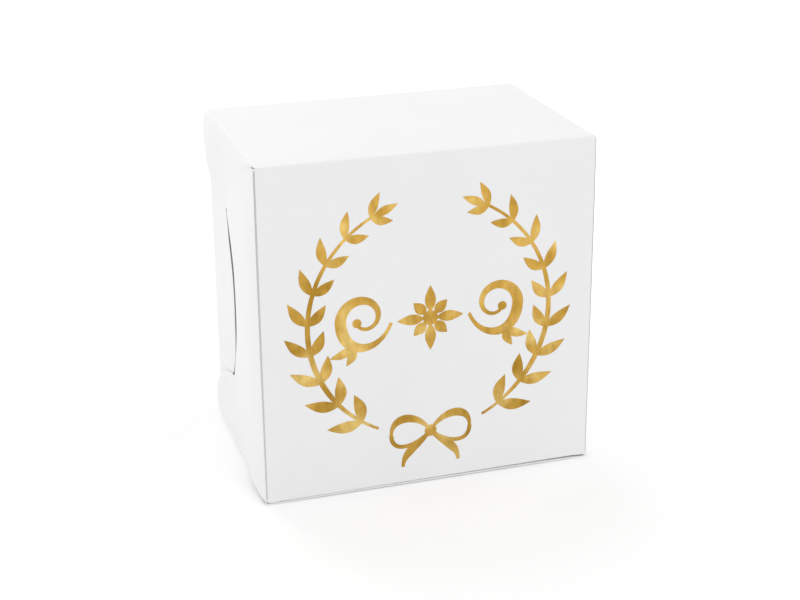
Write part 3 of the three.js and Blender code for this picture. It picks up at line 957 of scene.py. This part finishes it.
def sprig():
    stem = arc_line(0, 0, WREATH_RADIUS, WREATH_RADIUS, WREATH_START, WREATH_END)
    outlines = stroke_outlines(stem, STEM_THIN, STEM_THICK, 0.3)
    for turn, length_share in ((1, INNER_LEAF_SHARE), (-1, 1.0)):
        outlines += leaf_outlines(
            leaves=LEAF_PAIRS, radius=WREATH_RADIUS, start_angle=math.radians(WREATH_START),
            sweep_angle=math.radians(WREATH_END - WREATH_START), offset=LEAF_OFFSET,
            heading=math.radians(90 + turn * LEAF_SPREAD), taper=LEAF_TAPER,
            leaf_length=LEAF_LENGTH * length_share, leaf_width=LEAF_WIDTH, leaf_bow=turn * LEAF_BOW,
            leaf_belly=LEAF_BELLY,
        )
    tip = stem[-4]
    tip_size = 1 - LEAF_TAPER
    outlines.append(single_leaf(*tip, WREATH_END + 90, LEAF_LENGTH * tip_size, LEAF_WIDTH * tip_size, 0.0))
    return outlines


def scroll():
    lead = curve_line(*SCROLL_LEAD, 64)
    line = lead[:-1] + arc_line(*SCROLL_EYE, *SCROLL_RADII, *SCROLL_TURNS, 128)
    root = lead[40]
    outlines = stroke_outlines(line, STROKE_THIN, SCROLL_THICK, 0.4)
    outlines.append(disc_outline(*line[-1], SCROLL_BEAD))
    for turn, length in SCROLL_LEAVES:
        outlines.append(single_leaf(*root, turn, length, SCROLL_LEAF_WIDTH, -LEAF_BOW))
    return outlines


def rosette():
    outlines = [disc_outline(0, 0, ROSETTE_RADIUS)]
    for start, length in ROSETTE_LEAVES:
        outlines += leaf_outlines(
            leaves=4, radius=ROSETTE_FOOT, start_angle=math.radians(start), sweep_angle=math.tau, offset=0.0,
            heading=0.0, taper=0.0, leaf_length=length, leaf_width=ROSETTE_LEAF_WIDTH, leaf_bow=0.0,
            leaf_belly=LEAF_BELLY,
        )
    return outlines


def ribbon_bow():
    outlines = [disc_outline(*KNOT, KNOT_RADIUS)]
    for side in (1, -1):
        tip = (side * LOOP_REACH, KNOT[1])
        over = curve_line(KNOT, (side * LOOP_REACH / 3, LOOP_TOP), (side * LOOP_REACH, LOOP_TOP), tip)
        under = curve_line(tip, (side * LOOP_REACH, LOOP_FOOT), (side * LOOP_REACH / 3, -56.3), KNOT)
        tail = curve_line(KNOT, (side * 3, -55), (side * TAIL_REACH, -57.5), (side * TAIL_REACH, TAIL_FOOT))
        outlines += stroke_outlines(over, STROKE_THIN, RIBBON_THICK, 0.6)
        outlines += stroke_outlines(under, RIBBON_THICK / 2, RIBBON_THICK / 2, 0.6)
        outlines += stroke_outlines(tail, STROKE_THIN, RIBBON_THICK, 0.6)
    return outlines


for end, side in (("left", -1), ("right", 1)):
    foil_piece(f"{end}_foil_sprig_print", sprig(), side)
    foil_piece(f"{end}_foil_scroll_print", scroll(), side)
foil_piece("foil_rosette_print", rosette())
foil_piece("foil_bow_print", ribbon_bow())

# Studio
# A white table top that runs on under a white surround, soft lamps, and the camera.
SWEEP_SIZE = 6.0
SWEEP_LIFT = 0.094
FAR_LIFT = 0.4
LIFT_FROM = 0.11
LIFT_TO = 0.5


def seen_rays(tree):
    """One for rays that show the surround to the camera, straight, mirrored or through something clear."""
    path = tree.nodes.new("ShaderNodeLightPath")
    mirrored = figure(tree, "MAXIMUM", path.outputs["Is Camera Ray"], path.outputs["Is Glossy Ray"])
    return figure(tree, "MAXIMUM", mirrored, path.outputs["Is Transmission Ray"])


def white_sweep():
    material, tree, shader = start_material("white_sweep", 0.9)
    shader.inputs["Base Color"].default_value = (0.93, 0.93, 0.93, 1)
    shader.inputs["Specular IOR Level"].default_value = 0
    shader.inputs["Emission Color"].default_value = (1, 1, 1, 1)
    place = tree.nodes.new("ShaderNodeTexCoord")
    away = tree.nodes.new("ShaderNodeVectorMath")
    away.operation = "LENGTH"
    tree.links.new(place.outputs["Object"], away.inputs[0])
    lift = spread_between(tree, away.outputs["Value"], SWEEP_LIFT, FAR_LIFT, LIFT_FROM, LIFT_TO)
    strength = figure(tree, "MULTIPLY", lift, seen_rays(tree))
    tree.links.new(strength, shader.inputs["Emission Strength"])
    return material


sweep_mesh = bpy.data.meshes.new("white_sweep")
half = SWEEP_SIZE / 2
sweep_corners = [(-half, -half, 0), (half, -half, 0), (half, half, 0), (-half, half, 0)]
sweep_mesh.from_pydata(sweep_corners, [], [(0, 1, 2, 3)])
sweep_mesh.materials.append(white_sweep())
sweep = bpy.data.objects.new("white_sweep", sweep_mesh)
bpy.context.scene.collection.objects.link(sweep)


def soft_lamp(name, place, size, power, aim=(0, 0, 0.07)):
    light = bpy.data.lights.new(name, "AREA")
    light.shape = "RECTANGLE"
    light.size, light.size_y = size
    light.energy = power
    lamp = bpy.data.objects.new(name, light)
    lamp.location = place
    lamp.rotation_mode = "QUATERNION"
    lamp.rotation_quaternion = (Vector(aim) - Vector(place)).to_track_quat("-Z", "Y")
    bpy.context.scene.collection.objects.link(lamp)


soft_lamp("overhead_front_lamp", (0, -0.8, 1.4), (1.2, 0.8), 2.4)
soft_lamp("overhead_back_lamp", (-0.1, 0.9, 1.3), (1.2, 0.9), 1.1)
soft_lamp("back_lamp", (-0.3, 1.6, 0.7), (1.0, 0.8), 5.4)
soft_lamp("back_left_lamp", (-0.8, 1.5, 0.7), (1.0, 0.8), 1.5)
soft_lamp("left_lamp", (-1.5, 0, 0.7), (1.2, 1.0), 3.5)
soft_lamp("right_lamp", (1.5, 0.2, 0.7), (1.0, 1.0), 3.6)
soft_lamp("front_right_lamp", (1.2, -1.2, 0.8), (1.0, 1.0), 3.7)

WORLD_LIGHT = 0.7
world = bpy.data.worlds.new("white_surround")
world.use_nodes = True
bpy.context.scene.world = world
surround = world.node_tree
background = surround.nodes["Background"]
background.inputs["Color"].default_value = (1, 1, 1, 1)
bright = surround.nodes.new("ShaderNodeMix")
bright.inputs["A"].default_value = WORLD_LIGHT
bright.inputs["B"].default_value = 1
surround.links.new(seen_rays(surround), bright.inputs["Factor"])
surround.links.new(bright.outputs["Result"], background.inputs["Strength"])

CAMERA_PLACE = (-0.1933, -0.6245, 0.3192)
CAMERA_AZIMUTH = math.radians(-17.339)
CAMERA_ELEVATION = math.radians(21.344)
CAMERA_ROLL = math.radians(-0.475)
FOCAL_PIXELS = 1636.2
PHOTO_WIDTH = 800

lens = bpy.data.cameras.new("camera")
lens.sensor_width = 36
lens.lens = lens.sensor_width * FOCAL_PIXELS / PHOTO_WIDTH
camera = bpy.data.objects.new("camera", lens)
backwards = Vector((
    math.sin(CAMERA_AZIMUTH) * math.cos(CAMERA_ELEVATION),
    -math.cos(CAMERA_AZIMUTH) * math.cos(CAMERA_ELEVATION),
    math.sin(CAMERA_ELEVATION),
))
level_right = Vector((0, 0, 1)).cross(backwards).normalized()
level_up = backwards.cross(level_right)
right = level_right * math.cos(CAMERA_ROLL) + level_up * math.sin(CAMERA_ROLL)
up = backwards.cross(right)
camera.matrix_world = Matrix.LocRotScale(
    Vector(CAMERA_PLACE), Matrix((right, up, backwards)).transposed().to_quaternion(), None,
)
bpy.context.scene.collection.objects.link(camera)
bpy.context.scene.camera = camera
bpy.context.scene.view_settings.view_transform = "Standard"
